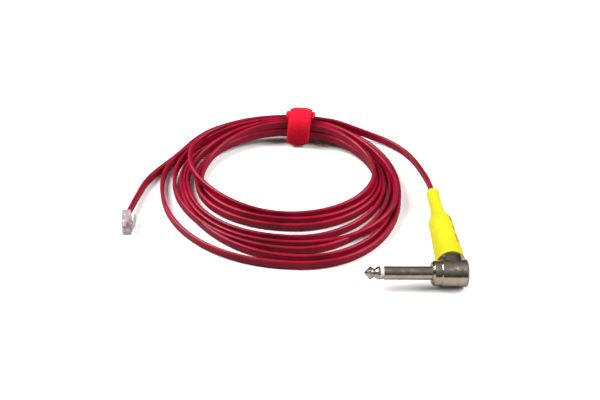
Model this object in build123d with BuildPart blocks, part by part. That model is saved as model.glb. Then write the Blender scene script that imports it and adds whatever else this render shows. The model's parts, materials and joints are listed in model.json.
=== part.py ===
"""A coiled two-conductor flat cord with a right-angle phone plug and a clear modular plug.

The cord lies on the plane Z = 0 in eight loose turns, which a hook-and-loop tie gathers at the
back. The 6.35 mm phone plug lies at the right, pointing left, and the modular plug at the left.
Millimetres, +Z up. The origin is on the resting plane, midway between the outer faces of the two
plugs and the tie.
"""

import os
from math import cos, pi, radians, sin, tan

from build123d import *

os.makedirs("parts", exist_ok=True)

# ---------------------------------------------------------------- driving dimensions

CORD_WIDTH = 4.5  # across both lobes
CORD_THICK = 2.0  # across one lobe
COIL = (-4.8, 8.7)  # the middle of the turns, seen from above

# tie: a strap wound two and a half times round the gathered strands
TIE_AT = (9.8, 53.2)  # from the middle of the turns
TIE_HEIGHT = 8.28
TIE_SKEW = 5.7  # degrees that the strands run down to the right there
TIE_WIDTH = 12.0
TIE_HEAD_WIDTH = 16.0
STRAP_THICK = 1.2
STRAP_PITCH = 1.3  # the growth of the winding in one turn
BUNDLE = (5.6, 4.9)  # half sizes of the gathered strands, across and up
BUNDLE_POWER = 2.8  # between an ellipse and a rectangle
TOP_SLACK = 1.7  # how far the tie's loop stands off the strands at its top

# phone plug: where the head's axis meets the cable tube's axis, and how the plug lies
PLUG_AT = (81.3, -73.9, 6.88)  # x and y from the middle of the turns
PLUG_YAW = 3.5
PLUG_ROLL = 3.0  # the tip points up a little

SHAFT_R = 3.175
SHAFT_LENGTH = 31.7  # from the point of the tip to the collar
TIP_LENGTH = 7.5
TIP_RING = 1.7  # the insulator between the tip and the sleeve
COLLAR_R = 5.85
COLLAR_LENGTH = 4.1
HEAD_R = 6.35
HEAD_FRONT = 6.2  # from the cable tube's axis to the collar
HEAD_BACK = 5.3
ROD_R = 1.2

CAP_RIM = 0.9
CAP_R = 6.45
CAP_THREAD_R = 5.2
CAP_THREAD_LENGTH = 3.0
RUNNING = 0.05  # radial clearance of a turning fit
KNURLS = 40

BOSS_LENGTH = 9.5
BOSS_R = 6.5
TUBE_R = 5.5
TUBE_TAPER_END = 34.0
TUBE_BORE_R = 3.5
TUBE_END = 41.0
SHRINK_START = 7.8
SHRINK_WIDE_END = 42.0
SHRINK_TAPER_END = 49.0
SHRINK_END = 65.6
SHRINK_NARROW_R = 3.15
CORD_STRIPPED_AT = 24.0  # where the jacket ends inside the cable tube

# modular plug
MOD_AT = (-76.2, -24.1)  # the middle of its cord entry, from the middle of the turns
MOD_YAW = -4.0
MOD_LENGTH = 10.8
MOD_WIDTH = 7.62
MOD_BODY = 4.4
MOD_PITCH = 1.02
MOD_JACKET = 3.6  # how far the jacket goes in
LATCH_WIDTH = 3.25
LATCH_THICK = 0.8


def from_coil(x, y, z=0.0):
    """A point given from the middle of the turns."""
    return (COIL[0] + x, COIL[1] + y, z)


def finish(part, name):
    part.label = name
    export_step(part, f"parts/{name}.step")


def across(yaw):
    return (cos(radians(yaw)), sin(radians(yaw)), 0.0)


# ---------------------------------------------------------------- frames of the three groups

# along the shaft towards the cap, along the cable tube, up
plug = Plane(origin=from_coil(*PLUG_AT), x_dir=across(PLUG_YAW), z_dir=(0, 0, 1))
plug = plug.rotated((0, PLUG_ROLL, 0))
plug_side = Plane(origin=plug.origin, x_dir=plug.x_dir, z_dir=-plug.y_dir)
plug_end = Plane(origin=plug.origin, x_dir=plug.y_dir, z_dir=plug.x_dir)
plug_axis = Axis(plug.origin, plug.x_dir)
tube_axis = Axis(plug.origin, plug.y_dir)

# towards the nose, down, towards the latch
mod = Plane(
    origin=from_coil(*MOD_AT, MOD_WIDTH / 2),
    x_dir=(-sin(radians(MOD_YAW)), -cos(radians(MOD_YAW)), 0),
    z_dir=(cos(radians(MOD_YAW)), -sin(radians(MOD_YAW)), 0),
)
mod_side = Plane(origin=mod.origin, x_dir=mod.x_dir, z_dir=mod.y_dir)
mod_end = Plane(origin=mod.origin, x_dir=mod.y_dir, z_dir=mod.x_dir)

# outwards from the coil, up, along the strands to the right
tie = Plane(
    origin=from_coil(*TIE_AT, TIE_HEIGHT),
    x_dir=across(90 - TIE_SKEW),
    z_dir=across(-TIE_SKEW),
)


def on(plane, x, y, z=0.0):
    return plane.from_local_coords(Vector(x, y, z))


# ---------------------------------------------------------------- phone plug: contacts

TIP_AT = -HEAD_FRONT - COLLAR_LENGTH - SHAFT_LENGTH
COLLAR_AT = -HEAD_FRONT - COLLAR_LENGTH
CAVITY_AT = -5.0  # the front wall of the hollow head
CAVITY_R = 4.9
NECK_R = 2.15
LAND_R = 3.1
ROD_END = CAVITY_AT + 1.4

with BuildPart() as tip_contact:
    with BuildSketch(plug):
        with BuildLine():
            Polyline(
                (TIP_AT, 0),
                (TIP_AT + 0.25, 0.4),
                (TIP_AT + 2.75, LAND_R),
                (TIP_AT + 3.15, LAND_R),
                (TIP_AT + 4.5, NECK_R),
                (TIP_AT + 5.3, NECK_R),
                (TIP_AT + 6.3, LAND_R),
                (TIP_AT + TIP_LENGTH, LAND_R),
                (TIP_AT + TIP_LENGTH, ROD_R),
                (ROD_END, ROD_R),
                (ROD_END, 0),
                close=True,
            )
        make_face()
    revolve(axis=plug_axis)
finish(tip_contact.part, "tip_contact")


def ring_profile(start, end, inner, outer):
    """A rectangle in the plug's plane, to be turned about the shaft's axis."""
    with Locations(((start + end) / 2, (inner + outer) / 2)):
        Rectangle(end - start, outer - inner)


RING_AT = TIP_AT + TIP_LENGTH
SLEEVE_AT = RING_AT + TIP_RING
LINER_R = 1.95

with BuildPart() as tip_ring_insulator:
    with BuildSketch(plug):
        ring_profile(RING_AT, SLEEVE_AT, LINER_R, 2.95)
    revolve(axis=plug_axis)
finish(tip_ring_insulator.part, "tip_ring_insulator")

with BuildPart() as rod_liner:
    with BuildSketch(plug):
        ring_profile(RING_AT, CAVITY_AT + 0.4, ROD_R, LINER_R)
    revolve(axis=plug_axis)
finish(rod_liner.part, "rod_liner")

SHANK_R = 3.0
LUG_THICK = 0.4
WASHER_THICK = 0.6

with BuildPart() as sleeve_contact:
    with BuildSketch(plug):
        with BuildLine():
            Polyline(
                (SLEEVE_AT, LINER_R),
                (SLEEVE_AT, SHAFT_R - 0.15),
                (SLEEVE_AT + 0.15, SHAFT_R),
                (COLLAR_AT, SHAFT_R),
                (COLLAR_AT, SHANK_R),
                (CAVITY_AT + LUG_THICK, SHANK_R),
                (CAVITY_AT + LUG_THICK, LINER_R),
                close=True,
            )
        make_face()
    revolve(axis=plug_axis)
finish(sleeve_contact.part, "sleeve_contact")

TAB_WIDTH = 2.6


def lug(start, hole_r, washer_r, reach):
    """A washer with a solder tab that points down the cable tube."""
    with BuildSketch(plug_end.offset(start)) as outline:
        Circle(washer_r)
        with Locations((reach / 2, 0)):
            SlotOverall(reach + TAB_WIDTH, TAB_WIDTH)
        Circle(hole_r, mode=Mode.SUBTRACT)
        with Locations((reach, 0)):
            Circle(0.55, mode=Mode.SUBTRACT)
    extrude(outline.sketch, amount=LUG_THICK)


GROUND_LUG_AT = CAVITY_AT
WASHER_AT = CAVITY_AT + LUG_THICK
TIP_LUG_AT = WASHER_AT + WASHER_THICK
NUT_AT = TIP_LUG_AT + LUG_THICK
TIP_TAB = 3.4

with BuildPart() as ground_lug:
    with BuildSketch(plug_end.offset(GROUND_LUG_AT)):
        Circle(CAVITY_R - 0.3)
        Circle(SHANK_R, mode=Mode.SUBTRACT)
    extrude(amount=LUG_THICK)
finish(ground_lug.part, "ground_lug")

with BuildPart() as lug_washer:
    with BuildSketch(plug_end.offset(WASHER_AT)):
        Circle(CAVITY_R - 0.4)
        Circle(ROD_R, mode=Mode.SUBTRACT)
    extrude(amount=WASHER_THICK)
finish(lug_washer.part, "lug_washer")

with BuildPart() as tip_lug:
    lug(TIP_LUG_AT, ROD_R, 2.4, TIP_TAB)
finish(tip_lug.part, "tip_lug")

with BuildPart() as rod_rivet:
    with BuildSketch(plug):
        with BuildLine():
            Polyline(
                (NUT_AT, 0),
                (NUT_AT, 2.0),
                (NUT_AT + 0.5, 2.0),
                (NUT_AT + 1.0, 1.3),
                (NUT_AT + 1.1, 0),
                close=True,
            )
        make_face()
    revolve(axis=plug_axis)
finish(rod_rivet.part, "rod_rivet")

# ---------------------------------------------------------------- phone plug: body and cap

THREAD_AT = HEAD_BACK - CAP_THREAD_LENGTH - 0.2

with BuildPart() as plug_body:
    with BuildSketch(plug):
        with BuildLine():
            Polyline(
                (COLLAR_AT, SHANK_R),
                (COLLAR_AT, COLLAR_R - 1.0),
                (COLLAR_AT + 0.9, COLLAR_R),
                (-HEAD_FRONT, COLLAR_R),
                (-HEAD_FRONT, HEAD_R - 0.4),
                (-HEAD_FRONT + 0.4, HEAD_R),
                (HEAD_BACK, HEAD_R),
                (HEAD_BACK, SHANK_R),
                close=True,
            )
        make_face()
    revolve(axis=plug_axis)
    with BuildSketch(plug_side):
        Circle(BOSS_R)
    extrude(amount=-BOSS_LENGTH)
    # a flat on the boss for the cap's rim
    with BuildSketch(plug_end.offset(HEAD_BACK)):
        Circle(CAP_R + 0.25)
    extrude(amount=BOSS_R, mode=Mode.SUBTRACT)
    with BuildSketch(plug_end.offset(CAVITY_AT)):
        Circle(CAVITY_R)
    extrude(amount=HEAD_BACK - CAVITY_AT, mode=Mode.SUBTRACT)
    with BuildSketch(plug_end.offset(THREAD_AT)):
        Circle(CAP_THREAD_R)
    extrude(amount=HEAD_BACK - THREAD_AT, mode=Mode.SUBTRACT)
    with BuildSketch(plug_side):
        Circle(TUBE_BORE_R + 0.8)
    extrude(amount=-BOSS_LENGTH, mode=Mode.SUBTRACT)
    with BuildSketch(plug_end.offset(COLLAR_AT)):
        Circle(SHANK_R)
    extrude(amount=CAVITY_AT - COLLAR_AT, mode=Mode.SUBTRACT)
finish(plug_body.part, "plug_body")

CAP_SPIGOT_R = CAP_THREAD_R - RUNNING
CAP_CUP_R = 4.3
CAP_FLOOR = HEAD_BACK - 0.4

with BuildPart() as end_cap:
    with BuildSketch(plug):
        with BuildLine():
            Polyline(
                (HEAD_BACK - CAP_THREAD_LENGTH, CAP_CUP_R),
                (HEAD_BACK - CAP_THREAD_LENGTH, CAP_SPIGOT_R - 0.3),
                (HEAD_BACK - CAP_THREAD_LENGTH + 0.3, CAP_SPIGOT_R),
                (HEAD_BACK + RUNNING, CAP_SPIGOT_R),
                (HEAD_BACK + RUNNING, CAP_R),
                (HEAD_BACK + CAP_RIM - 0.3, CAP_R),
                (HEAD_BACK + CAP_RIM, CAP_R - 0.3),
                (HEAD_BACK + CAP_RIM, 0),
                (CAP_FLOOR, 0),
                (CAP_FLOOR, CAP_CUP_R),
                close=True,
            )
        make_face()
    revolve(axis=plug_axis)
    with BuildSketch(plug_end.offset(HEAD_BACK + RUNNING)):
        with PolarLocations(CAP_R + 0.22, KNURLS):
            Circle(0.34)
    extrude(amount=CAP_RIM, mode=Mode.SUBTRACT)
    with BuildSketch(plug_end.offset(HEAD_BACK + CAP_RIM)):
        Rectangle(1.2, 8.0)
    extrude(amount=-0.45, mode=Mode.SUBTRACT)
finish(end_cap.part, "end_cap")

with BuildPart() as cap_insulator:
    with BuildSketch(plug_end.offset(CAP_FLOOR - RUNNING)):
        Circle(CAP_CUP_R - RUNNING)
    extrude(amount=-0.5)
finish(cap_insulator.part, "cap_insulator")

# ---------------------------------------------------------------- phone plug: cable side

SPIGOT_AT = 5.6
TUBE_NOSE_R = 2.75  # the hole that the flat cord leaves through

with BuildPart() as cable_tube:
    with BuildSketch(plug):
        with BuildLine():
            Polyline(
                (TUBE_BORE_R, SPIGOT_AT),
                (TUBE_BORE_R + 0.8, SPIGOT_AT),
                (TUBE_BORE_R + 0.8, BOSS_LENGTH),
                (BOSS_R, BOSS_LENGTH),
                (TUBE_R, TUBE_TAPER_END),
                (TUBE_R, TUBE_END - 3.0),
                (TUBE_R - 2.2, TUBE_END),
                (TUBE_NOSE_R, TUBE_END),
                (TUBE_NOSE_R, TUBE_END - 2.5),
                (TUBE_BORE_R, TUBE_END - 4.0),
                close=True,
            )
        make_face()
    revolve(axis=tube_axis)
finish(cable_tube.part, "cable_tube")

SHRINK_WALL = 0.4

with BuildPart() as heat_shrink_sleeve:
    with BuildSketch(plug):
        with BuildLine():
            Polyline(
                (BOSS_R, SHRINK_START),
                (BOSS_R + SHRINK_WALL, SHRINK_START),
                (BOSS_R + SHRINK_WALL, BOSS_LENGTH),
                (TUBE_R + SHRINK_WALL, TUBE_TAPER_END),
                (TUBE_R + SHRINK_WALL, SHRINK_WIDE_END - 2.6),
            )
            Spline(
                (TUBE_R + SHRINK_WALL, SHRINK_WIDE_END - 2.6),
                (TUBE_R - 0.3, SHRINK_WIDE_END + 1.2),
                (SHRINK_NARROW_R + 0.5, SHRINK_TAPER_END - 2.0),
                (SHRINK_NARROW_R, SHRINK_TAPER_END + 1.5),
                tangents=[(0, 1), (0, 1)],
            )
            Polyline(
                (SHRINK_NARROW_R, SHRINK_TAPER_END + 1.5),
                (SHRINK_NARROW_R, SHRINK_END),
                (SHRINK_NARROW_R - SHRINK_WALL, SHRINK_END),
                (SHRINK_NARROW_R - SHRINK_WALL, SHRINK_TAPER_END - 2.0),
                (TUBE_R - 2.2, TUBE_END),
                (TUBE_R, TUBE_END - 3.0),
                (TUBE_R, TUBE_TAPER_END),
                (BOSS_R, BOSS_LENGTH),
                (BOSS_R, SHRINK_START),
            )
        make_face()
    revolve(axis=tube_axis)
finish(heat_shrink_sleeve.part, "heat_shrink_sleeve")


def cord_section():
    """The flat cord's two lobes, side by side along the sketch's Y."""
    lobe = CORD_THICK / 2
    Rectangle(CORD_THICK * 0.6, CORD_WIDTH - 2 * lobe)
    with Locations((0, CORD_WIDTH / 2 - lobe), (0, lobe - CORD_WIDTH / 2)):
        Circle(lobe)


tube_across = Plane(origin=plug.origin, x_dir=plug.x_dir, z_dir=-plug.y_dir)

with BuildPart() as cord_end_in_phone_plug:
    with BuildSketch(tube_across.offset(-CORD_STRIPPED_AT)):
        cord_section()
    extrude(amount=CORD_STRIPPED_AT - SHRINK_END)
finish(cord_end_in_phone_plug.part, "cord_end_in_phone_plug")

CORE_R = 0.6
CORE_UP = CORD_WIDTH / 2 - CORD_THICK / 2
SOLDER_R = 0.95
TIP_SOLDER = (TIP_LUG_AT + LUG_THICK + 0.45, TIP_TAB, 0)
GROUND_SOLDER = (GROUND_LUG_AT + LUG_THICK + 0.45, 0.6, -4.25)
TIP_CORE = [
    TIP_SOLDER,
    (TIP_SOLDER[0] + 0.8, 8.0, 0.5),
    (-0.6, 16.0, CORE_UP + 0.4),
    (0, CORD_STRIPPED_AT, CORE_UP),
]
GROUND_CORE = [
    (GROUND_SOLDER[0] + 0.8, 0.6, -4.0),
    (GROUND_SOLDER[0] + 2.6, 4.0, -2.9),
    (0.4, 12.0, -CORE_UP - 0.8),
    (0, CORD_STRIPPED_AT, -CORE_UP),
]


def core_path(points, radii):
    return FilletPolyline(*[on(plug, *p) for p in points], radius=radii)


with BuildPart() as tip_core:
    with BuildLine() as tip_core_route:
        core_path(TIP_CORE, [6.0, 6.0])
    with BuildSketch(tip_core_route.line ^ 0):
        Circle(CORE_R)
    sweep(path=tip_core_route.line)
finish(tip_core.part, "tip_core")

with BuildPart() as ground_core:
    with BuildLine() as ground_core_route:
        core_path(GROUND_CORE, [2.0, 5.0])
    with BuildSketch(ground_core_route.line ^ 0):
        Circle(CORE_R)
    sweep(path=ground_core_route.line)
finish(ground_core.part, "ground_core")

with BuildPart() as solder_joints:
    with Locations(on(plug, *TIP_SOLDER), on(plug, *GROUND_SOLDER)):
        Sphere(SOLDER_R)
    for cutter in (tip_lug, ground_lug, lug_washer, plug_body, tip_core, ground_core, rod_rivet):
        add(cutter.part, mode=Mode.SUBTRACT)
finish(solder_joints.part, "solder_joints")

# ---------------------------------------------------------------- modular plug

HALF_WIDTH = MOD_WIDTH / 2
HALF_BODY = MOD_BODY / 2
ENTRY_WIDTH = CORD_WIDTH + 0.3
ENTRY_HEIGHT = CORD_THICK + 0.5
CONDUCTOR_R = 0.5
CONDUCTOR_END = MOD_LENGTH - 0.9
CONDUCTOR_Z = -0.4  # the cores lie towards the contact face
SLOT_AT = 6.4
SLOT_WIDTH = 0.42
BLADE_WIDTH = 0.3
PIVOT = (MOD_LENGTH - 1.1, HALF_BODY + 0.45)  # along the plug, and out from its middle
ROOT_R = LATCH_THICK / 2

with BuildPart() as modular_housing:
    with BuildSketch(mod_end):
        RectangleRounded(MOD_WIDTH, MOD_BODY, 0.35)
    extrude(amount=MOD_LENGTH)
    # a nose that narrows on the contact side, and the shoulder behind it
    with BuildSketch(mod_side):
        with BuildLine():
            Polyline(
                (MOD_LENGTH - 1.0, HALF_BODY + 0.1),
                (MOD_LENGTH + 0.1, HALF_BODY + 0.1),
                (MOD_LENGTH + 0.1, HALF_BODY - 0.7),
                close=True,
            )
        make_face()
    extrude(amount=HALF_WIDTH + 0.1, both=True, mode=Mode.SUBTRACT)
    # the boss that carries the latch, with a groove for its root
    with BuildSketch(mod_side):
        with Locations((PIVOT[0] + 0.2, -HALF_BODY - 0.2)):
            Rectangle(1.4, 1.0)
    extrude(amount=LATCH_WIDTH / 2 + 0.6, both=True)
    with BuildSketch(mod_side):
        with Locations((PIVOT[0], -PIVOT[1])):
            Circle(ROOT_R + RUNNING)
        with Locations((PIVOT[0] - 1.0, -PIVOT[1])):
            Rectangle(2.0, 2 * ROOT_R + 2 * RUNNING)
    extrude(amount=LATCH_WIDTH / 2 + 0.1, both=True, mode=Mode.SUBTRACT)
    # the cord entry, and the cores' channel
    with BuildSketch(mod_end):
        RectangleRounded(ENTRY_WIDTH, ENTRY_HEIGHT, 0.9)
    extrude(amount=MOD_JACKET + 0.8, mode=Mode.SUBTRACT)
    with BuildSketch(mod_end):
        with Locations((MOD_PITCH / 2, CONDUCTOR_Z), (-MOD_PITCH / 2, CONDUCTOR_Z)):
            Circle(CONDUCTOR_R + 0.02)
    extrude(amount=CONDUCTOR_END, mode=Mode.SUBTRACT)
    # the window that the jacket clamp is pressed into
    with BuildSketch(mod.offset(HALF_BODY)):
        with Locations((2.4, 0)):
            Rectangle(2.0, 4.6)
    extrude(amount=-(HALF_BODY - ENTRY_HEIGHT / 2 + 0.1), mode=Mode.SUBTRACT)
    # four contact slots, open at the contact face and the nose
    with BuildSketch(mod.offset(-HALF_BODY)):
        for row in range(4):
            with Locations(((SLOT_AT + MOD_LENGTH) / 2 + 0.1, (row - 1.5) * MOD_PITCH)):
                Rectangle(MOD_LENGTH - SLOT_AT + 0.2, SLOT_WIDTH)
    extrude(amount=HALF_BODY + CONDUCTOR_Z + 0.1, mode=Mode.SUBTRACT)
finish(modular_housing.part, "modular_housing")

with BuildPart() as modular_contacts:
    for side in (-1, 1):
        with BuildSketch(mod_side.offset(-side * MOD_PITCH / 2 - BLADE_WIDTH / 2)):
            with BuildLine():
                Polyline(
                    (SLOT_AT + 0.4, HALF_BODY - 0.35),
                    (MOD_LENGTH - 1.2, HALF_BODY - 0.35),
                    (MOD_LENGTH - 0.35, HALF_BODY - 0.9),
                    (MOD_LENGTH - 0.35, -CONDUCTOR_Z + CONDUCTOR_R + 0.02),
                    (SLOT_AT + 0.4, -CONDUCTOR_Z + CONDUCTOR_R + 0.02),
                    close=True,
                )
            make_face()
        extrude(amount=BLADE_WIDTH)
finish(modular_contacts.part, "modular_contacts")

with BuildPart() as modular_cores:
    with BuildSketch(mod_end.offset(MOD_JACKET)):
        with Locations((MOD_PITCH / 2, CONDUCTOR_Z), (-MOD_PITCH / 2, CONDUCTOR_Z)):
            Circle(CONDUCTOR_R)
    extrude(amount=CONDUCTOR_END - MOD_JACKET - 0.05)
finish(modular_cores.part, "modular_cores")

mod_across = Plane(origin=mod.origin, x_dir=mod.z_dir, z_dir=mod.x_dir)

with BuildPart() as cord_end_in_modular_plug:
    with BuildSketch(mod_across):
        cord_section()
    extrude(amount=MOD_JACKET)
finish(cord_end_in_modular_plug.part, "cord_end_in_modular_plug")

with BuildPart() as jacket_clamp:
    with BuildSketch(mod_side):
        with BuildLine():
            Polyline(
                (1.5, -CORD_THICK / 2),
                (2.9, -CORD_THICK / 2),
                (3.3, -HALF_BODY + 0.3),
                (1.5, -HALF_BODY + 0.3),
                close=True,
            )
        make_face()
    extrude(amount=2.2, both=True)
finish(jacket_clamp.part, "jacket_clamp")

LATCH_RISE = 1.5
LATCH_END = 0.6

with BuildPart() as modular_latch:
    with BuildSketch(mod_side):
        with BuildLine():
            Polyline(
                (PIVOT[0], -PIVOT[1] + ROOT_R),
                (PIVOT[0] - 1.0, -PIVOT[1] + ROOT_R * 0.6),
                (6.4, -PIVOT[1] - 0.45),
                (LATCH_END, -PIVOT[1] - LATCH_RISE + 0.3),
                (LATCH_END, -PIVOT[1] - LATCH_RISE - 0.3),
                (5.6, -PIVOT[1] - LATCH_THICK - 0.6),
                (6.6, -PIVOT[1] - LATCH_THICK - 0.6),
                (PIVOT[0], -PIVOT[1] - ROOT_R),
                close=True,
            )
        make_face()
        with Locations((PIVOT[0], -PIVOT[1])):
            Circle(ROOT_R)
    extrude(amount=LATCH_WIDTH / 2, both=True)
finish(modular_latch.part, "modular_latch")

# ---------------------------------------------------------------- tie


def bundle_radius(angle):
    """How far the gathered strands reach from their middle, at an angle in degrees."""
    a, b = BUNDLE
    c, s = abs(cos(radians(angle))) / a, abs(sin(radians(angle))) / b
    return (c**BUNDLE_POWER + s**BUNDLE_POWER) ** (-1 / BUNDLE_POWER)


def winding(angle, out):
    """A point of the strap: its inner face at out = 0, and its outer face at out = 1."""
    turns = (angle - STRAP_FROM) / 360
    slack = TOP_SLACK * max(0.0, cos(radians(angle - SLACK_AT))) ** 2
    r = bundle_radius(angle) + 0.1 + slack + STRAP_PITCH * turns + STRAP_THICK * out
    return (r * cos(radians(angle)), r * sin(radians(angle)))


def strap_face(start, end, step=15, inset=0.0):
    """The strap's section along its length, between two angles of the winding."""
    count = max(3, round((end - start) / step))
    angles = [start + (end - start) * i / count for i in range(count + 1)]
    inner = [winding(angle, inset) for angle in angles]
    outer = [winding(angle, 1 - inset) for angle in angles]
    with BuildLine() as outline:
        Spline(*inner)
        Line(inner[-1], outer[-1])
        Spline(*outer)
        Line(outer[0], inner[0])
    make_face(outline.edges())


STRAP_FROM = 55  # the head, at the top and back of the bundle
SLACK_AT = 82
HEAD_FROM = 58
HEAD_TO = 125
HEAD_INSET = 0.1  # the head's margins are a little thinner than the strap
STRAP_TO = 840
TAIL_FROM = 845
TAIL_TO = 945

with BuildPart() as tie_strap:
    with BuildSketch(tie.offset(-TIE_WIDTH / 2)):
        strap_face(STRAP_FROM, STRAP_TO)
    extrude(amount=TIE_WIDTH)
    margin = (TIE_HEAD_WIDTH - TIE_WIDTH) / 2
    for side in (-TIE_HEAD_WIDTH / 2, TIE_WIDTH / 2):
        with BuildSketch(tie.offset(side)):
            strap_face(HEAD_FROM, HEAD_TO, inset=HEAD_INSET)
        extrude(amount=margin)
finish(tie_strap.part, "tie_strap")

TAIL_HINGE = winding(TAIL_FROM, 0.5)

with BuildPart() as tie_tail:
    with BuildSketch(tie.offset(-TIE_WIDTH / 2)):
        strap_face(TAIL_FROM, TAIL_TO, step=10)
        with Locations(TAIL_HINGE):
            Circle(STRAP_THICK / 2)
    extrude(amount=TIE_WIDTH)
finish(tie_tail.part, "tie_tail")

# ---------------------------------------------------------------- cord: the coil


def quarter(start, start_way, end, end_way, fullness):
    """A quarter of a turn, from one direction to the next."""
    leg = Vector(end) - Vector(start)
    reach_out = abs(leg.dot(Vector(start_way))) * fullness
    reach_in = abs(leg.dot(Vector(end_way))) * fullness
    Bezier(
        start,
        Vector(start) + Vector(start_way) * reach_out,
        Vector(end) - Vector(end_way) * reach_in,
        end,
    )


def loop(back, left, front, right, fullness):
    """A closed turn through its back, left, front and right points, anticlockwise."""
    with BuildLine() as outline:
        quarter(back, (-1, 0), left, (0, -1), fullness)
        quarter(left, (0, -1), front, (1, 0), fullness)
        quarter(front, (1, 0), right, (0, 1), fullness)
        quarter(right, (0, 1), back, (-1, 0), fullness)
    make_face(outline.edges())


COIL_TOP = 15.0
TIE_ROOM = 10.0  # half the stretch of the coil that the tie's opening shapes

coil_plane = Plane(origin=from_coil(0, 0), z_dir=(0, 0, 1))
coil_side = Plane(origin=from_coil(0, 0), x_dir=(0, 1, 0), z_dir=(1, 0, 0))

with BuildPart() as cord_coil:
    with BuildSketch(coil_plane):
        loop((-2, 60.5), (-63.2, 9), (11, -63.8), (62.6, 1), 0.57)
    extrude(amount=COIL_TOP)
    with BuildSketch(coil_plane):
        loop((2, 47.4), (-40.6, 14), (5, -20.2), (46.8, 14), 0.56)
    extrude(amount=COIL_TOP, mode=Mode.SUBTRACT)
    # from the side the turns lie flat in front, and rise to the tie at the back
    with BuildSketch(coil_side):
        with BuildLine():
            Polyline(
                (-70, 0),
                (18, 0),
                (40, 3.0),
                (70, 5.0),
                (70, 14.8),
                (44, 13.6),
                (22, 10.4),
                (2, 8.6),
                (-16, 4.6),
                (-70, 4.6),
                close=True,
            )
        make_face()
    extrude(amount=70, both=True, mode=Mode.INTERSECT)
    with BuildSketch(tie.offset(-TIE_ROOM)):
        Rectangle(30, 40)
    extrude(amount=2 * TIE_ROOM, mode=Mode.SUBTRACT)
    with BuildSketch(tie.offset(-TIE_ROOM)):
        with BuildLine():
            Spline(
                *[
                    (bundle_radius(a) * cos(radians(a)), bundle_radius(a) * sin(radians(a)))
                    for a in range(0, 360, 15)
                ],
                periodic=True,
            )
        make_face()
    extrude(amount=2 * TIE_ROOM)
finish(cord_coil.part, "cord_coil")

# ---------------------------------------------------------------- cord: the two tails


def tail_radii(points):
    """The largest arc that each corner of a route has room for."""
    radii = []
    for a, b, c in zip(points, points[1:], points[2:]):
        before, after = Vector(b) - Vector(a), Vector(c) - Vector(b)
        turn = before.get_angle(after)
        run = min(before.length, after.length)
        radii.append(0.45 * run / tan(radians(turn / 2)))
    return radii


def tail_line(points):
    radii = tail_radii(points)
    print("radii", [round(r, 1) for r in radii])
    return FilletPolyline(*points, radius=radii)


def make_tail(start, way, points):
    """A tube as wide as the cord, along a route that starts on a face with the given normal."""
    with BuildPart() as tail:
        with BuildLine() as route:
            tail_line(points)
        with BuildSketch(Plane(origin=start, z_dir=way)):
            Circle(CORD_WIDTH / 2)
        sweep(path=Wire(route.edges()))
    expected = pi * (CORD_WIDTH / 2) ** 2 * Wire(route.edges()).length
    print("volume", round(tail.part.volume), "section by length", round(expected))
    return tail


PHONE_TAIL = [
    tuple(on(plug, 0, SHRINK_END)),
    from_coil(76.3, 0.8, 6.6),
    from_coil(73.9, 13.5, 5.0),
    from_coil(70.6, 27.2, 3.3),
    from_coil(65.2, 38.8, 2.5),
    from_coil(57.4, 47.0, 2.6),
    from_coil(49.7, 51.2, 3.4),
    from_coil(42.1, 54.0, 5.0),
    from_coil(34.2, 55.9, 7.3),
    from_coil(26.0, 57.0, 9.6),
]
MODULAR_TAIL = [
    tuple(mod.origin),
    from_coil(-74.6, -13.8, 3.2),
    from_coil(-72.7, -3.2, 2.6),
    from_coil(-70.6, 6.6, 2.35),
    from_coil(-67.0, 14.9, 2.3),
    from_coil(-62.4, 22.2, 2.3),
    from_coil(-57.6, 29.4, 2.3),
    from_coil(-53.0, 37.8, 2.3),
    from_coil(-48.0, 47.0, 2.4),
]

cord_tail_phone = make_tail(PHONE_TAIL[0], plug.y_dir, PHONE_TAIL)
finish(cord_tail_phone.part, "cord_tail_phone")

cord_tail_modular = make_tail(MODULAR_TAIL[0], -mod.x_dir, MODULAR_TAIL)
finish(cord_tail_modular.part, "cord_tail_modular")
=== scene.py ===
"""The looks of a coiled flat cord with a phone plug, a modular plug and a hook-and-loop tie."""

import json
from math import cos, pi, radians, sin, sqrt

import bpy
from mathutils import Matrix, Vector, noise

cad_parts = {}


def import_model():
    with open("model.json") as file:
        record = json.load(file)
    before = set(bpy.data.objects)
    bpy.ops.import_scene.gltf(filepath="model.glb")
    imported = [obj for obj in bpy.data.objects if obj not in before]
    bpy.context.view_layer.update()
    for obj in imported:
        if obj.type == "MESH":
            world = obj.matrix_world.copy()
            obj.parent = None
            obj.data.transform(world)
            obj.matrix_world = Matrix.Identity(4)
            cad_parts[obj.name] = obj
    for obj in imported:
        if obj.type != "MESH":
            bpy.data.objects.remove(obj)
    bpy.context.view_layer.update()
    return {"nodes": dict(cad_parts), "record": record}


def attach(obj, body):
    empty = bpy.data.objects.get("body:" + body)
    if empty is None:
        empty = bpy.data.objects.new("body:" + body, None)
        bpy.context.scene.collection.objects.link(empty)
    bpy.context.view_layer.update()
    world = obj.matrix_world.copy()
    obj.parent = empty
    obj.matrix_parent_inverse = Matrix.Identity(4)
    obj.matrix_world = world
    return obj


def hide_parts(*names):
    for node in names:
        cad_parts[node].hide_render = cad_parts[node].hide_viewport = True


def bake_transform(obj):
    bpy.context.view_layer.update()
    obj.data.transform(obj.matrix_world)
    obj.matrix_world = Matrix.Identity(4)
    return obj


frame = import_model()

MM = 0.001
ROOT = "cord_and_plugs"

# ---------------------------------------------------------------- frames shared with the CAD

COIL = Vector((-4.8, 8.7, 0)) * MM  # the middle of the turns
PLUG_YAW = radians(3.5)
PLUG_ROLL = radians(3.0)
TIE_SKEW = radians(5.7)


def from_coil(x, y, z=0.0):
    """A point given in millimetres from the middle of the turns."""
    return COIL + Vector((x, y, z)) * MM


def axes(origin, x, y, z):
    """A matrix whose columns are the three directions, in millimetres."""
    turn = Matrix((x, y, z)).transposed()
    return Matrix.Translation(origin) @ (turn * MM).to_4x4()


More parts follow.
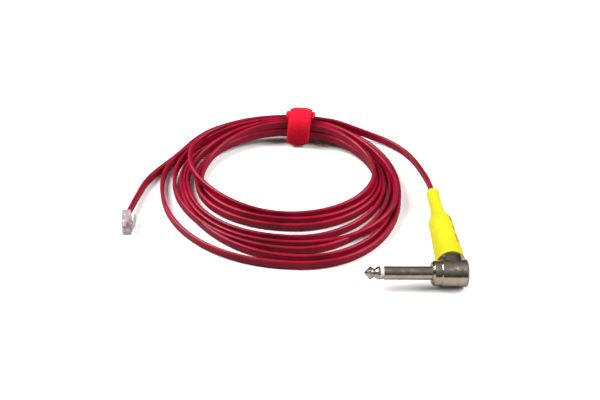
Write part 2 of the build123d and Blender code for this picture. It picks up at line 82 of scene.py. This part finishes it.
PLUG_TURN = Matrix.Rotation(PLUG_YAW, 3, "Z") @ Matrix.Rotation(PLUG_ROLL, 3, "Y")
PLUG = axes(from_coil(81.3, -73.9, 6.88), *[PLUG_TURN.col[i].copy() for i in range(3)])
ALONG_TIE = Vector((cos(TIE_SKEW), -sin(TIE_SKEW), 0))
OUT_OF_TIE = Vector((sin(TIE_SKEW), cos(TIE_SKEW), 0))
TIE = axes(from_coil(9.8, 53.2, 8.28), OUT_OF_TIE, Vector((0, 0, 1)), ALONG_TIE)

# ---------------------------------------------------------------- camera

CAMERA_AT = from_coil(10, -521, 361.4)
CAMERA_DOWN = 35
LENS = 73.62

camera_data = bpy.data.cameras.new("camera")
camera_data.lens = LENS
camera_data.sensor_width = 36
camera = bpy.data.objects.new("camera", camera_data)
camera.location = CAMERA_AT
camera.rotation_euler = (radians(90 - CAMERA_DOWN), 0, 0)
bpy.context.collection.objects.link(camera)
bpy.context.scene.camera = camera

# ---------------------------------------------------------------- helpers


def mix(a, b, t):
    return a + (b - a) * t


def smooth(low, high, value):
    t = min(max((value - low) / (high - low), 0), 1)
    return t * t * (3 - 2 * t)


def new_mesh(name, verts, faces, smooth=True):
    mesh = bpy.data.meshes.new(name)
    mesh.from_pydata([tuple(v) for v in verts], [], faces)
    mesh.polygons.foreach_set("use_smooth", [smooth] * len(mesh.polygons))
    mesh.update()
    piece = bpy.data.objects.new(name, mesh)
    bpy.context.collection.objects.link(piece)
    return piece


def skin(name, rings, closed_ring=True, caps=True):
    """A surface through rings of points, each with the same number of points."""
    count = len(rings[0])
    verts = [p for ring in rings for p in ring]
    sides = count if closed_ring else count - 1
    faces = []
    for i in range(len(rings) - 1):
        for j in range(sides):
            k = (j + 1) % count
            faces.append((i * count + j, i * count + k, (i + 1) * count + k, (i + 1) * count + j))
    if caps:
        faces.append(tuple(range(count))[::-1])
        faces.append(tuple(range((len(rings) - 1) * count, len(rings) * count)))
    return new_mesh(name, verts, faces)


# ---------------------------------------------------------------- cord: its route

CORD_WIDTH = 4.5
LOBE_R = 1.0

# the two tails' points are the CAD's; all are in millimetres from the middle of the turns
PHONE_TAIL = [
    (77.295, -8.42, 6.88),
    (76.3, 0.8, 6.6),
    (73.9, 13.5, 5.0),
    (70.6, 27.2, 3.3),
    (65.2, 38.8, 2.5),
    (57.4, 47.0, 2.6),
    (49.7, 51.2, 3.4),
    (42.1, 54.0, 5.0),
    (34.2, 55.9, 7.3),
    (26.0, 57.0, 9.6),
]
MODULAR_TAIL = [
    (-48.0, 47.0, 2.4),
    (-53.0, 37.8, 2.3),
    (-57.6, 29.4, 2.3),
    (-62.4, 22.2, 2.3),
    (-67.0, 14.9, 2.3),
    (-70.6, 6.6, 2.35),
    (-72.7, -3.2, 2.6),
    (-74.6, -13.8, 3.2),
    (-76.2, -24.1, 3.81),
]
# from the tie to the modular tail, along the back of the coil
BACK_OF_COIL = [
    (-6, 61.4, 7.4),
    (-15, 63.2, 5.6),
    (-25, 63.2, 4.0),
    (-34.5, 60.6, 2.9),
    (-42.0, 55.0, 2.45),
]

TIE_X = 9.8
TIE_Y = 53.0
PASS_PITCH = 2.1
PASS_LOW = 6.3
PASS_RISE = 4.45
ROW_SHIFT = 0.5  # how far the upper row lies in front of the middle, and the lower row behind
HALF_TIE = 6.5
THROUGH_TIE = Vector((-1.0, 0.20, 0.05))


def tie_pass(column, row):
    """Where a pass of the cord crosses the middle of the tie: five columns and two rows."""
    shift = ROW_SHIFT * (1 - 2 * row)
    return Vector((TIE_X, TIE_Y + PASS_PITCH * (2 - column) + shift, PASS_LOW + PASS_RISE * row))


PASSES = [
    tie_pass(0, 1),
    tie_pass(3, 1),
    tie_pass(4, 0),
    tie_pass(2, 1),
    tie_pass(3, 0),
    tie_pass(1, 1),
    tie_pass(2, 0),
    tie_pass(1, 0),
    tie_pass(0, 0),
]
# each turn's leftmost, front and rightmost points, and how full its four quarters are
TURNS = [
    ((-48.6, 23, 8.6), (4, -21.8, 2.25), (49.0, 12, 6.0), (0.60, 0.50, 0.60, 0.46)),
    ((-41.8, 13, 2.25), (8, -26.6, 2.25), (50.2, 10, 2.25), (0.56, 0.56, 0.54, 0.48)),
    ((-44.2, 11, 2.25), (8, -32.0, 2.25), (52.1, 8, 2.25), (0.56, 0.57, 0.52, 0.55)),
    ((-49.0, 12, 2.25), (9, -41.4, 2.25), (54.2, 6, 2.25), (0.56, 0.58, 0.51, 0.55)),
    ((-50.8, 12, 2.25), (9, -46.0, 2.25), (59.6, -4, 6.75), (0.56, 0.58, 0.62, 0.44)),
    ((-56.0, 11, 3.2), (9, -51.2, 2.25), (57.1, 5, 2.25), (0.60, 0.52, 0.51, 0.55)),
    ((-52.7, 12, 2.25), (11, -57.4, 2.25), (59.2, 3, 2.25), (0.56, 0.53, 0.59, 0.55)),
    ((-62.2, 9, 2.25), (11, -62.6, 2.25), (61.4, 1, 2.25), (0.60, 0.58, 0.60, 0.56)),
]
POINTS_PER_QUARTER = 6
LEFT, NEAR, RIGHT = Vector((-1, 0, 0)), Vector((0, -1, 0)), Vector((1, 0, 0))


def quarter(start, start_way, end, end_way, fullness):
    """Points of a quarter turn, without its last one."""
    leg = end - start
    c = start + start_way * abs(leg.dot(start_way)) * fullness
    d = end - end_way * abs(leg.dot(end_way)) * fullness
    points = []
    for i in range(POINTS_PER_QUARTER):
        t = i / POINTS_PER_QUARTER
        u = 1 - t
        points.append(start * u**3 + c * 3 * u * u * t + d * 3 * u * t * t + end * t**3)
    return points


def coil_points():
    points = []
    for k, (left, front, right, fullness) in enumerate(TURNS):
        start = PASSES[k] + THROUGH_TIE * HALF_TIE
        end = PASSES[k + 1] - THROUGH_TIE * HALF_TIE
        left, front, right = Vector(left), Vector(front), Vector(right)
        points += quarter(start, LEFT, left, NEAR, fullness[0])
        points += quarter(left, NEAR, front, RIGHT, fullness[1])
        points += quarter(front, RIGHT, right, -NEAR, fullness[2])
        points += quarter(right, -NEAR, end, LEFT, fullness[3])
        points.append(end)
    points.append(PASSES[-1] + THROUGH_TIE * HALF_TIE)
    return points


TURNING = coil_points()
ROUTE = [from_coil(*p) for p in PHONE_TAIL + TURNING + BACK_OF_COIL + MODULAR_TAIL]

line_data = bpy.data.curves.new("route", "CURVE")
line_data.dimensions = "3D"
spline = line_data.splines.new("NURBS")
spline.points.add(len(ROUTE) - 1)
for point, place in zip(spline.points, ROUTE):
    point.co = (*place, 1)
spline.order_u = 3
spline.use_endpoint_u = True
spline.resolution_u = 8
line = bpy.data.objects.new("route", line_data)
bpy.context.collection.objects.link(line)
bpy.context.view_layer.update()
line_mesh = bpy.data.meshes.new_from_object(line)
PATH = [v.co.copy() for v in line_mesh.vertices]
bpy.data.meshes.remove(line_mesh)
bpy.data.objects.remove(line)

# ---------------------------------------------------------------- cord: its flat section

def lobe_section():
    """The outline of two touching lobes, across and up, in millimetres."""
    centre = CORD_WIDTH / 2 - LOBE_R
    web = 0.78
    start = 30
    outline = []
    for side in (1, -1):
        for i in range(9):
            angle = radians(-start + (180 + 2 * start) * i / 8)
            outline.append((side * LOBE_R * cos(angle), side * (centre + LOBE_R * sin(angle))))
        outline.append((-side * web, 0.0))
    return outline


SECTION = lobe_section()


def swept_cord(name, path, lean_at):
    rings = []
    run = 0.0
    for i, place in enumerate(path):
        before = path[max(i - 1, 0)]
        after = path[min(i + 1, len(path) - 1)]
        way = (after - before).normalized()
        side = way.cross(Vector((0, 0, 1))).normalized()
        up = side.cross(way)
        run += (place - before).length
        lean = lean_at(place, run)
        across = side * cos(lean) + up * sin(lean)
        tall = up * cos(lean) - side * sin(lean)
        rings.append([place + (across * a + tall * b) * MM for a, b in SECTION])
    return skin(name, rings)


LEAN = radians(11)
LEAN_WAVE = 0.045  # metres of route in one sway of the cord
CALM_NEAR_TIE = (0.014, 0.045)  # the strands stand straight up to here, and sway freely from here


def lean_at(place, run):
    """How far the cord leans to its left: it sways as it lies, and stands straight in the tie."""
    near, far = CALM_NEAR_TIE
    away = (place - TIE.translation).length
    free = min(max((away - near) / (far - near), 0), 1)
    return LEAN * free * noise.noise(Vector((run / LEAN_WAVE, 3.7, 0)))


cord = swept_cord("cord", PATH, lean_at)

# ---------------------------------------------------------------- materials


def material(name, colour, roughness, metallic=0.0, **sockets):
    made = bpy.data.materials.new(name)
    made.use_nodes = True
    shader = made.node_tree.nodes["Principled BSDF"]
    shader.inputs["Base Color"].default_value = (*colour, 1)
    shader.inputs["Roughness"].default_value = roughness
    shader.inputs["Metallic"].default_value = metallic
    for socket, value in sockets.items():
        shader.inputs[socket.replace("_", " ")].default_value = value
    return made


def object_noise(tree, scale, detail=4.0, stretch=(1, 1, 1)):
    """Noise in the object's own space, with scale in repeats for each metre."""
    coordinates = tree.nodes.new("ShaderNodeTexCoord")
    mapping = tree.nodes.new("ShaderNodeMapping")
    mapping.inputs["Scale"].default_value = stretch
    texture = tree.nodes.new("ShaderNodeTexNoise")
    texture.inputs["Scale"].default_value = scale
    texture.inputs["Detail"].default_value = detail
    tree.links.new(coordinates.outputs["Object"], mapping.inputs["Vector"])
    tree.links.new(mapping.outputs["Vector"], texture.inputs["Vector"])
    return texture.outputs["Fac"]


def add_bump(made, scale, strength, distance, **options):
    tree = made.node_tree
    bump = tree.nodes.new("ShaderNodeBump")
    bump.inputs["Strength"].default_value = strength
    bump.inputs["Distance"].default_value = distance
    tree.links.new(object_noise(tree, scale, **options), bump.inputs["Height"])
    tree.links.new(bump.outputs["Normal"], tree.nodes["Principled BSDF"].inputs["Normal"])


def vary(made, socket, scale, low, high, **options):
    """Lets a socket wander between two values, or two colours, over the surface."""
    tree = made.node_tree
    ramp = tree.nodes.new("ShaderNodeValToRGB")
    for stop, place, value in zip(ramp.color_ramp.elements, (0.35, 0.65), (low, high)):
        stop.position = place
        stop.color = (*value, 1) if hasattr(value, "__len__") else (value, value, value, 1)
    tree.links.new(object_noise(tree, scale, **options), ramp.inputs["Fac"])
    tree.links.new(ramp.outputs["Color"], tree.nodes["Principled BSDF"].inputs[socket])


def make_red_jacket():
    """Satin PVC, with the faint orange peel of an extruded jacket and rubbed patches."""
    made = material("red_jacket", (0.23, 0.001, 0.017), 0.36, Specular_IOR_Level=0.25)
    vary(made, "Base Color", 70, (0.18, 0.0008, 0.014), (0.28, 0.0014, 0.021))
    vary(made, "Roughness", 160, 0.3, 0.44)
    add_bump(made, 1400, 0.12, 0.0002)
    return made


def make_nickel():
    """Bright plate over turned brass: faint turning marks, finger haze and fine scratches."""
    made = material("nickel", (0.62, 0.55, 0.47), 0.14, 1.0)
    vary(made, "Base Color", 260, (0.55, 0.48, 0.40), (0.66, 0.60, 0.52))
    vary(made, "Roughness", 420, 0.10, 0.24)
    add_bump(made, 900, 0.05, 0.0002, stretch=(12, 1, 1))
    return made


def make_yellow_sleeve():
    """Satin polyolefin tube, with the slight ripple of shrinking."""
    made = material("yellow_sleeve", (0.52, 0.48, 0.007), 0.45, Specular_IOR_Level=0.3)
    vary(made, "Base Color", 120, (0.49, 0.45, 0.006), (0.56, 0.52, 0.009))
    vary(made, "Roughness", 300, 0.36, 0.5)
    add_bump(made, 500, 0.1, 0.0004)
    return made


def make_red_fabric():
    """Knitted loop tape: a nap of fine loops. Its colour is mottled at random, partly tone that
    differs over the tape and partly painted shade down between the loops.
    """
    sheen = {"Sheen_Weight": 0.12, "Sheen_Tint": (1.0, 0.25, 0.3, 1)}
    made = material("red_fabric", (0.62, 0.001, 0.018), 0.85, Specular_IOR_Level=0.15, **sheen)
    # painted shade: this fine colour mottle darkens the tape in patches, standing in for shade
    # between the loops as well as random tone
    vary(made, "Base Color", 1500, (0.40, 0.001, 0.012), (0.68, 0.002, 0.026), detail=6)
    add_bump(made, 2600, 0.6, 0.0004, detail=6)
    return made


def make_clear_plastic():
    """Moulded clear plastic, tinted slightly pink as a painted stand-in for the red cord seen
    through it.
    """
    # painted light: the pink in the base colour stands in for the red cord seen through the plastic
    made = material("clear_plastic", (0.97, 0.88, 0.90), 0.08, Transmission_Weight=0.82, IOR=1.42)
    add_bump(made, 400, 0.05, 0.0003)
    return made


def make_small(name, colour, low, high, metallic=0.0):
    made = material(name, colour, low, metallic)
    vary(made, "Roughness", 700, low, high)
    add_bump(made, 1200, 0.08, 0.0002)
    return made


FINISHES = {
    "red_jacket": make_red_jacket(),
    "nickel": make_nickel(),
    "yellow_sleeve": make_yellow_sleeve(),
    "red_fabric": make_red_fabric(),
    "clear_plastic": make_clear_plastic(),
    "pale_plastic": make_small("pale_plastic", (0.74, 0.71, 0.78), 0.3, 0.45),
    "gold": make_small("gold", (0.90, 0.60, 0.20), 0.16, 0.3, 1.0),
    "copper": make_small("copper", (0.80, 0.38, 0.20), 0.3, 0.45, 1.0),
    "tinned_brass": make_small("tinned_brass", (0.72, 0.66, 0.50), 0.25, 0.4, 1.0),
    "solder": make_small("solder", (0.70, 0.70, 0.72), 0.25, 0.4, 1.0),
    "fibre": make_small("fibre", (0.30, 0.12, 0.07), 0.7, 0.9),
    "ink": make_small("ink", (0.42, 0.11, 0.01), 0.45, 0.6),
}


def finish_as(piece, finish):
    piece.data.materials.clear()
    piece.data.materials.append(FINISHES[finish])


for entry in frame["record"]["subparts"]:
    finish_as(frame["nodes"][entry["node"]], entry["material_slot"])

# ---------------------------------------------------------------- cord: its finish and body, in place of the CAD's cord

finish_as(cord, "red_jacket")
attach(cord, ROOT)
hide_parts("cord_coil", "cord_tail_phone", "cord_tail_modular")

# ---------------------------------------------------------------- tie

TIE_WIDTH = 12.0
TIE_HEAD_WIDTH = 16.0
STRAP_THICK = 1.2
STRAP_PITCH = 1.3  # the growth of the winding in one turn
BUNDLE = (5.6, 4.9)  # half sizes of the gathered strands, across and up
BUNDLE_POWER = 2.8
TOP_SLACK = 1.7  # how far the loop stands off the strands at its top
SLACK_AT = 82  # degrees: 0 is the back, 90 the top and 180 the front
STRAP_FROM = 55
HEAD_TO = 114
STRAP_TO = 842
TAIL_TO = 945
CROWN = 0.75  # how far the strap's edges pull in
HEAD_CURL = 0.75  # how far the head's edges stand up
CURL_FADES = (HEAD_TO - 8, HEAD_TO + 12)  # where the standing edges turn into pulled-in ones
TIE_LEAN = 0.07  # sideways shift for each millimetre of height
NAP = 0.07  # the fabric's loops, in height


def bundle_radius(angle):
    a, b = BUNDLE
    c, s = abs(cos(radians(angle))) / a, abs(sin(radians(angle))) / b
    return (c**BUNDLE_POWER + s**BUNDLE_POWER) ** (-1 / BUNDLE_POWER)


def strap_half_width(angle):
    """The head is wider, with rounded corners, and narrows to the strap."""
    wide, narrow = TIE_HEAD_WIDTH / 2, TIE_WIDTH / 2
    corner = 18.0
    if angle > HEAD_TO:
        return narrow
    end = min(angle - STRAP_FROM, HEAD_TO - angle)
    rounding = sqrt(max(0.0, 1 - max(0.0, 1 - end / corner) ** 2))
    return narrow + (wide - narrow) * rounding


def tail_half_width(angle):
    """The free end has rounded corners."""
    corner = 22.0
    into = max(0.0, 1 - (TAIL_TO - angle) / corner)
    return TIE_WIDTH / 2 - 2.6 * (1 - sqrt(max(0.0, 1 - into * into)))


def tie_point(angle, across, out, lift=0.0):
    """A point of the wound strap, with across from -1 to 1 and out from 0, inside, to 1."""
    turns = (angle - STRAP_FROM) / 360
    slack = TOP_SLACK * max(0.0, cos(radians(angle - SLACK_AT))) ** 2
    r = bundle_radius(angle) + 0.1 + slack + STRAP_PITCH * turns + STRAP_THICK * out + lift
    r += mix(HEAD_CURL, -CROWN, smooth(*CURL_FADES, angle)) * across * across
    x, y = r * cos(radians(angle)), r * sin(radians(angle))
    return x, y


def ribbon(name, start, end, half_width, lift):
    """A closed strip of fabric round the bundle, with soft edges and a nap of loops."""
    along = round((end - start) / 3.2)
    columns = 30
    section = []
    for i in range(columns + 1):
        section.append((-1 + 2 * i / columns, 1))
    for i in range(columns + 1):
        section.append((1 - 2 * i / columns, 0))
    rings = []
    for k in range(along + 1):
        angle = start + (end - start) * k / along
        ring = []
        for across, out in section:
            soft = 0.5 + (out - 0.5) * (1 - abs(across) ** 9 * 0.75)
            x, y = tie_point(angle, across, soft, lift(angle))
            z = across * half_width(angle) + TIE_LEAN * y
            place = Vector((x, y, z))
            loops = NAP * noise.noise(Vector((angle * 0.16, z * 1.7, out * 9)) * 1.4)
            weave = 0.5 * NAP * sin(angle * 1.9) * cos(z * 5.2)
            push = (loops + weave) * (1 if out else -0.3)
            place += Vector((cos(radians(angle)), sin(radians(angle)), 0)) * push
            ring.append(TIE @ place)
        rings.append(ring)
    piece = skin(name, rings)
    finish_as(piece, "red_fabric")
    return piece


def flat_size(start, end, half_width):
    """The strip's length along its middle, and its area, before it was wound."""
    step = 2.0
    count = int((end - start) / step)
    length, area = 0.0, 0.0
    before = Vector(tie_point(start, 0, 0.5))
    for k in range(1, count + 1):
        angle = start + (end - start) * k / count
        here = Vector(tie_point(angle, 0, 0.5))
        length += (here - before).length
        area += (here - before).length * 2 * half_width(angle)
        before = here
    return length * MM, area * MM * MM


def no_lift(angle):
    return 0.0


def tail_lift(angle):
    """The free end stands off a little."""
    return 0.5 * max(0.0, (angle - 915) / (TAIL_TO - 915)) ** 2


strap = ribbon("tie_strap_fabric", STRAP_FROM, STRAP_TO, strap_half_width, no_lift)
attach(strap, ROOT)
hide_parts("tie_strap")
strap_length, strap_area = flat_size(STRAP_FROM, STRAP_TO, strap_half_width)

flap = ribbon("tie_tail_fabric", STRAP_TO, TAIL_TO, tail_half_width, tail_lift)
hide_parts("tie_tail")
flap_length, flap_area = flat_size(STRAP_TO, TAIL_TO, tail_half_width)


def tie_place(angle):
    x, y = tie_point(angle, 0, 0.5)
    return tuple(TIE @ Vector((x, y, 0)))


tie_place(STRAP_TO)
tie_place(STRAP_TO + 26)
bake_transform(flap)

# ---------------------------------------------------------------- heat-shrink sleeve

BOSS_R = 6.5
BOSS_LENGTH = 9.5
TUBE_R = 5.5
TUBE_TAPER_END = 34.0
SHRINK_START = 7.8
SHRINK_WIDE_END = 42.0
SHRINK_TAPER_END = 47.5
SHRINK_END = 65.6
SHRINK_NARROW_R = 3.15
SHRINK_WALL = 0.4


def sleeve_radius(run):
    """The outside of the sleeve along the cable tube: it follows the tube, then the cord."""
    wide = mix(BOSS_R, TUBE_R, min(max((run - BOSS_LENGTH) / (TUBE_TAPER_END - BOSS_LENGTH), 0), 1))
    shoulder = smooth(SHRINK_WIDE_END - 3.2, SHRINK_TAPER_END, run)
    return mix(wide + SHRINK_WALL, SHRINK_NARROW_R, shoulder)


def sleeve_ripple(run, angle):
    """Small waves from shrinking: most at the shoulder and on the narrow part."""
    where = Vector((cos(angle) * 1.3, sin(angle) * 1.3, run * 0.11))
    at_shoulder = 1 - min(abs(run - 46) / 9, 1)
    return noise.noise(where) * (0.10 + 0.28 * at_shoulder) + 0.05 * noise.noise(where * 3.1)


def sleeve_point(run, angle, radius):
    return PLUG @ Vector((radius * cos(angle), run, radius * sin(angle)))


def make_sleeve():
    around, steps, reach_in = 72, 110, 9
    rings = []

    def ring(run, radius_at):
        angles = [2 * pi * k / around for k in range(around)]
        rings.append([sleeve_point(run, a, radius_at(run, a)) for a in angles])

    def outside(run, angle):
        return sleeve_radius(run) + min(sleeve_ripple(run, angle), 0.12)

    def rim(run, angle):
        return outside(run, angle) - 0.12

    def inside(run, angle):
        return sleeve_radius(run) - SHRINK_WALL + 0.02

    ring(SHRINK_START, rim)
    for k in range(steps + 1):
        ring(mix(SHRINK_START + 0.12, SHRINK_END - 0.12, k / steps), outside)
    ring(SHRINK_END, rim)
    for k in range(reach_in):
        ring(SHRINK_END - 0.08 - k, inside)
    for k in range(reach_in - 1, -1, -1):
        ring(SHRINK_START + 0.08 + 0.2 * k, inside)
    rings.append(rings[0])
    count = around
    verts = [p for one in rings[:-1] for p in one]
    total = len(rings) - 1
    faces = []
    for i in range(total):
        for j in range(count):
            k, n = (j + 1) % count, (i + 1) % total
            faces.append((i * count + j, n * count + j, n * count + k, i * count + k))
    piece = new_mesh("sleeve_shrunk", verts, faces)
    finish_as(piece, "yellow_sleeve")
    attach(piece, ROOT)
    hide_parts("heat_shrink_sleeve")
    return piece


def make_print_marks():
    """Generic printed dashes down one side of the sleeve, standing a hair proud of it."""
    proud, middle, half_turn = 0.035, radians(46), radians(6.0)
    verts, faces = [], []
    for start, end in ((17.5, 24.3), (27.8, 32.2), (35.6, 40.4)):
        rows, columns = 12, 4
        first = len(verts)
        for i in range(rows + 1):
            run = mix(start, end, i / rows)
            for j in range(columns + 1):
                angle = middle + half_turn * (2 * j / columns - 1)
                radius = sleeve_radius(run) + min(sleeve_ripple(run, angle), 0.12) + proud
                verts.append(sleeve_point(run, angle, radius))
        for i in range(rows):
            for j in range(columns):
                a = first + i * (columns + 1) + j
                faces.append((a, a + columns + 1, a + columns + 2, a + 1))
    piece = new_mesh("sleeve_print", verts, faces)
    finish_as(piece, "ink")
    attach(piece, ROOT)
    return piece


make_sleeve()
make_print_marks()

# ---------------------------------------------------------------- floor and light


def floor():
    size = 6.0
    corners = [(-size, -size, 0), (size, -size, 0), (size, size, 0), (-size, size, 0)]
    piece = new_mesh("floor", corners, [(0, 1, 2, 3)])
    piece.location.z = -0.0001
    made = material("floor", (0.93, 0.93, 0.93), 0.7, Specular_IOR_Level=0.2)
    add_bump(made, 60, 0.02, 0.0005)
    # it sends less light back onto the object than the eye sees of it
    tree = made.node_tree
    dim = tree.nodes.new("ShaderNodeBsdfDiffuse")
    dim.inputs["Color"].default_value = (0.34, 0.31, 0.28, 1)
    choice = tree.nodes.new("ShaderNodeMixShader")
    path = tree.nodes.new("ShaderNodeLightPath")
    tree.links.new(path.outputs["Is Camera Ray"], choice.inputs["Fac"])
    tree.links.new(dim.outputs["BSDF"], choice.inputs[1])
    tree.links.new(tree.nodes["Principled BSDF"].outputs["BSDF"], choice.inputs[2])
    tree.links.new(choice.outputs["Shader"], tree.nodes["Material Output"].inputs["Surface"])
    piece.data.materials.append(made)


def area_light(name, place, target, size, power, colour=(1, 1, 1)):
    data = bpy.data.lights.new(name, "AREA")
    data.shape = "RECTANGLE"
    data.size, data.size_y = size
    data.energy = power
    data.color = colour
    light = bpy.data.objects.new(name, data)
    light.location = place
    light.rotation_euler = (Vector(target) - Vector(place)).to_track_quat("-Z", "Y").to_euler()
    bpy.context.collection.objects.link(light)


def world():
    """A dim room, darkest at the horizon, for polished metal to show, and a white backdrop."""
    made = bpy.data.worlds.new("world")
    made.use_nodes = True
    tree = made.node_tree
    room = tree.nodes["Background"]
    coordinates = tree.nodes.new("ShaderNodeTexCoord")
    split = tree.nodes.new("ShaderNodeSeparateXYZ")
    ramp = tree.nodes.new("ShaderNodeValToRGB")
    stops = ramp.color_ramp.elements
    stops[0].position, stops[0].color = 0.0, (0.05, 0.04, 0.05, 1)
    stops[1].position, stops[1].color = 1.0, (0.30, 0.27, 0.26, 1)
    for place, grey in ((0.18, 0.04), (0.42, 0.10), (0.72, 0.19)):
        stop = stops.new(place)
        stop.color = (grey, grey * 0.97, grey * 0.94, 1)
    tree.links.new(coordinates.outputs["Generated"], split.inputs["Vector"])
    tree.links.new(split.outputs["Z"], ramp.inputs["Fac"])
    tree.links.new(ramp.outputs["Color"], room.inputs["Color"])
    room.inputs["Strength"].default_value = 1.0
    backdrop = tree.nodes.new("ShaderNodeBackground")
    backdrop.inputs["Color"].default_value = (0.9, 0.9, 0.9, 1)
    choice = tree.nodes.new("ShaderNodeMixShader")
    path = tree.nodes.new("ShaderNodeLightPath")
    tree.links.new(path.outputs["Is Camera Ray"], choice.inputs["Fac"])
    tree.links.new(room.outputs["Background"], choice.inputs[1])
    tree.links.new(backdrop.outputs["Background"], choice.inputs[2])
    tree.links.new(choice.outputs["Shader"], tree.nodes["World Output"].inputs["Surface"])
    bpy.context.scene.world = made


floor()
world()
bpy.context.scene.view_settings.view_transform = "Standard"
area_light("key", (-0.75, 0.15, 0.75), (0, 0, 0), (0.7, 0.7), 22.0)
area_light("fill", (0.85, -0.1, 0.7), (0, 0, 0), (0.8, 0.8), 18.0)
